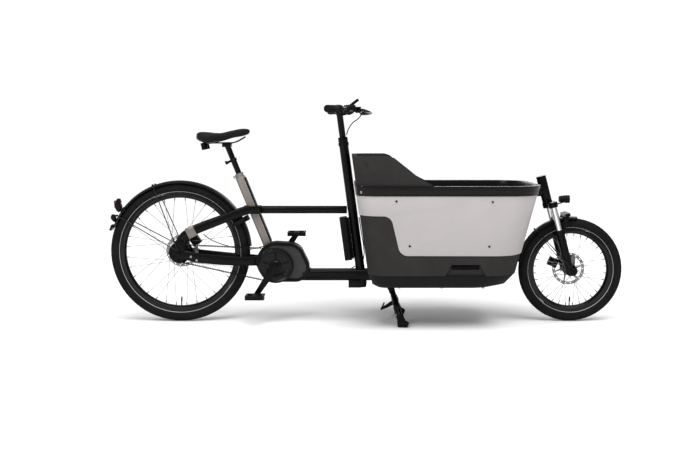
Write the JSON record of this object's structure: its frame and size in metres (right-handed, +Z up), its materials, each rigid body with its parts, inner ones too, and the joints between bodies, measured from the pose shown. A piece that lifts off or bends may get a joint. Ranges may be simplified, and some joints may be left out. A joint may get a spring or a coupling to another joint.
{
  "type": "cargo bicycle",
  "caption": "Front-loading electric cargo bicycle with a deep box between the steering column and a small sprung front wheel, belt drive and a centre stand.",
  "frame": {"origin": "on the ground, midway between the rear end of the mudflap and the front of the front tyre, on the middle plane", "axes": "+X forwards, +Y to the rider's left, +Z up"},
  "size_m": [2.549, 0.6912, 1.1061],
  "materials": {
    "grey_metal": "satin metallic paint, warm grey",
    "black_frame": "satin black powder coat",
    "motor_metal": "matt dark grey cast cover",
    "motor_plastic": "satin black moulding",
    "black_plastic": "satin black moulding",
    "box_foam": "grained charcoal foam moulding",
    "panel_paint": "satin light warm grey paint",
    "rim_plastic": "semi-gloss black moulding",
    "black_steel": "satin black",
    "fender_plastic": "satin black",
    "lamp_red": "clear red lens over a black base",
    "black_alloy": "black anodised",
    "steel": "bright steel",
    "disc_steel": "ground steel",
    "belt_rubber": "matt toothed belt",
    "hose_rubber": "satin black hose",
    "saddle_cover": "matt black synthetic cover",
    "grip_rubber": "matt ribbed rubber",
    "stanchion_chrome": "polished",
    "tyre_rubber": "matt rubber with a light sidewall line",
    "rim_alloy": "black anodised",
    "foot_rubber": "matt rubber"
  },
  "bodies": {
    "frame": {"seat_tube": "grey_metal", "top_tube": "black_frame", "upper_stays": "black_frame", "belt_sleeve": "grey_metal", "lower_stays": "black_frame", "motor_cradle": "black_frame", "main_beam": "black_frame", "steering_column": "black_frame", "nose_frame": "black_frame", "motor_housing": "motor_metal", "motor_cover": "motor_plastic", "battery": "black_plastic", "cargo_shell": "box_foam", "side_panels": "panel_paint", "backrest_shell": "box_foam", "box_rim": "rim_plastic", "base_tray": "rim_plastic", "panel_screws": "black_steel", "rear_fender": "fender_plastic", "tail_light": "lamp_red", "rear_caliper": "black_alloy", "ring_lock": "black_plastic", "rear_axle": "steel", "drive_belt": "belt_rubber", "frame_hoses": "hose_rubber"},
    "rear_wheel": {"rear_tyre": "tyre_rubber", "rear_rim": "rim_alloy", "rear_spokes": "steel", "rear_hub": "black_alloy", "rear_disc": "disc_steel"},
    "rear_pulley": {"rear_pulley": "steel"},
    "crank": {"cranks": "black_alloy", "front_pulley": "black_plastic"},
    "pedal_right": {"pedal_right": "black_plastic"},
    "pedal_left": {"pedal_left": "black_plastic"},
    "seat": {"seatpost": "black_alloy", "saddle_rails": "black_steel", "saddle": "saddle_cover"},
    "steerer": {"steering_shaft": "black_alloy"},
    "bars": {"stem": "black_alloy", "handlebar": "black_alloy", "grips": "grip_rubber", "bar_controls": "black_plastic", "bar_hoses": "hose_rubber"},
    "twist_grip": {"gear_twist": "grip_rubber"},
    "lever_right": {"brake_lever_right": "black_alloy"},
    "lever_left": {"brake_lever_left": "black_alloy"},
    "fork": {"fork_crown": "black_alloy", "stanchions": "stanchion_chrome", "headlight": "black_plastic"},
    "lowers": {"fork_lowers": "black_alloy", "front_fender": "fender_plastic", "front_caliper": "black_alloy"},
    "front_wheel": {"front_tyre": "tyre_rubber", "front_rim": "rim_alloy", "front_spokes": "steel", "front_hub": "black_alloy", "front_disc": "disc_steel"},
    "stand": {"kickstand": "black_steel", "kickstand_feet": "foot_rubber"}
  },
  "joints": [
    {"name": "rear_wheel_spin", "type": "hinge", "parent": "frame", "child": "rear_wheel", "pos_m": [-0.92547, 0, 0.347], "axis": [0, 1, 0], "continuous": true},
    {"name": "crank_spin", "type": "hinge", "parent": "frame", "child": "crank", "pos_m": [-0.44847, 0, 0.284], "axis": [0, 1, 0], "continuous": true},
    {"name": "rear_pulley_spin", "type": "hinge", "parent": "frame", "child": "rear_pulley", "pos_m": [-0.92547, 0, 0.347], "axis": [0, 1, 0], "continuous": true},
    {"name": "pedal_right_spin", "type": "hinge", "parent": "crank", "child": "pedal_right", "pos_m": [-0.54353, -0.093, 0.14306], "axis": [0, 1, 0], "continuous": true},
    {"name": "pedal_left_spin", "type": "hinge", "parent": "crank", "child": "pedal_left", "pos_m": [-0.35341, 0.093, 0.42494], "axis": [0, 1, 0], "continuous": true},
    {"name": "seat_height", "type": "slide", "parent": "frame", "child": "seat", "axis": [-0.3746, 0, 0.9272], "range_m": [-0.06, 0.09]},
    {"name": "handlebar_turn", "type": "hinge", "parent": "frame", "child": "steerer", "pos_m": [0.00453, 0, 0], "axis": [-0.1323, 0, 0.9912], "range_deg": [-50, 50]},
    {"name": "stem_height", "type": "slide", "parent": "steerer", "child": "bars", "axis": [-0.1323, 0, 0.9912], "range_m": [0, 0.08]},
    {"name": "gear_twist_turn", "type": "hinge", "parent": "bars", "child": "twist_grip", "pos_m": [-0.12725, -0.21385, 1.0512], "axis": [-0.4364, -0.8997, -0.0134], "range_deg": [-60, 60]},
    {"name": "brake_lever_right_pull", "type": "hinge", "parent": "bars", "child": "lever_right", "pos_m": [-0.03979, -0.11, 1.04995], "axis": [0, 0, -1], "range_deg": [0, 18], "stiffness_Nm_per_rad": 1.5, "springref_deg": -5.73},
    {"name": "brake_lever_left_pull", "type": "hinge", "parent": "bars", "child": "lever_left", "pos_m": [-0.03979, 0.11, 1.04995], "axis": [0, 0, 1], "range_deg": [0, 18], "stiffness_Nm_per_rad": 1.5, "springref_deg": -5.73},
    {"name": "fork_turn", "type": "hinge", "parent": "frame", "child": "fork", "pos_m": [0.99045, 0, 0.25101], "axis": [-0.2588, 0, 0.9659], "range_deg": [-50, 50]},
    {"name": "fork_travel", "type": "slide", "parent": "fork", "child": "lowers", "axis": [-0.2588, 0, 0.9659], "range_m": [0, 0.04], "stiffness_N_per_m": 9000, "springref_m": -0.05},
    {"name": "front_wheel_spin", "type": "hinge", "parent": "lowers", "child": "front_wheel", "pos_m": [1.01653, 0, 0.258], "axis": [0, 1, 0], "continuous": true},
    {"name": "stand_fold", "type": "hinge", "parent": "frame", "child": "stand", "pos_m": [0.12353, 0, 0.168], "axis": [0, 1, 0], "range_deg": [0, 80]}
  ],
  "couplings": [
    {"joint": "fork_turn", "follows": "handlebar_turn", "ratio": 1},
    {"joint": "rear_pulley_spin", "follows": "crank_spin", "ratio": 2}
  ]
}
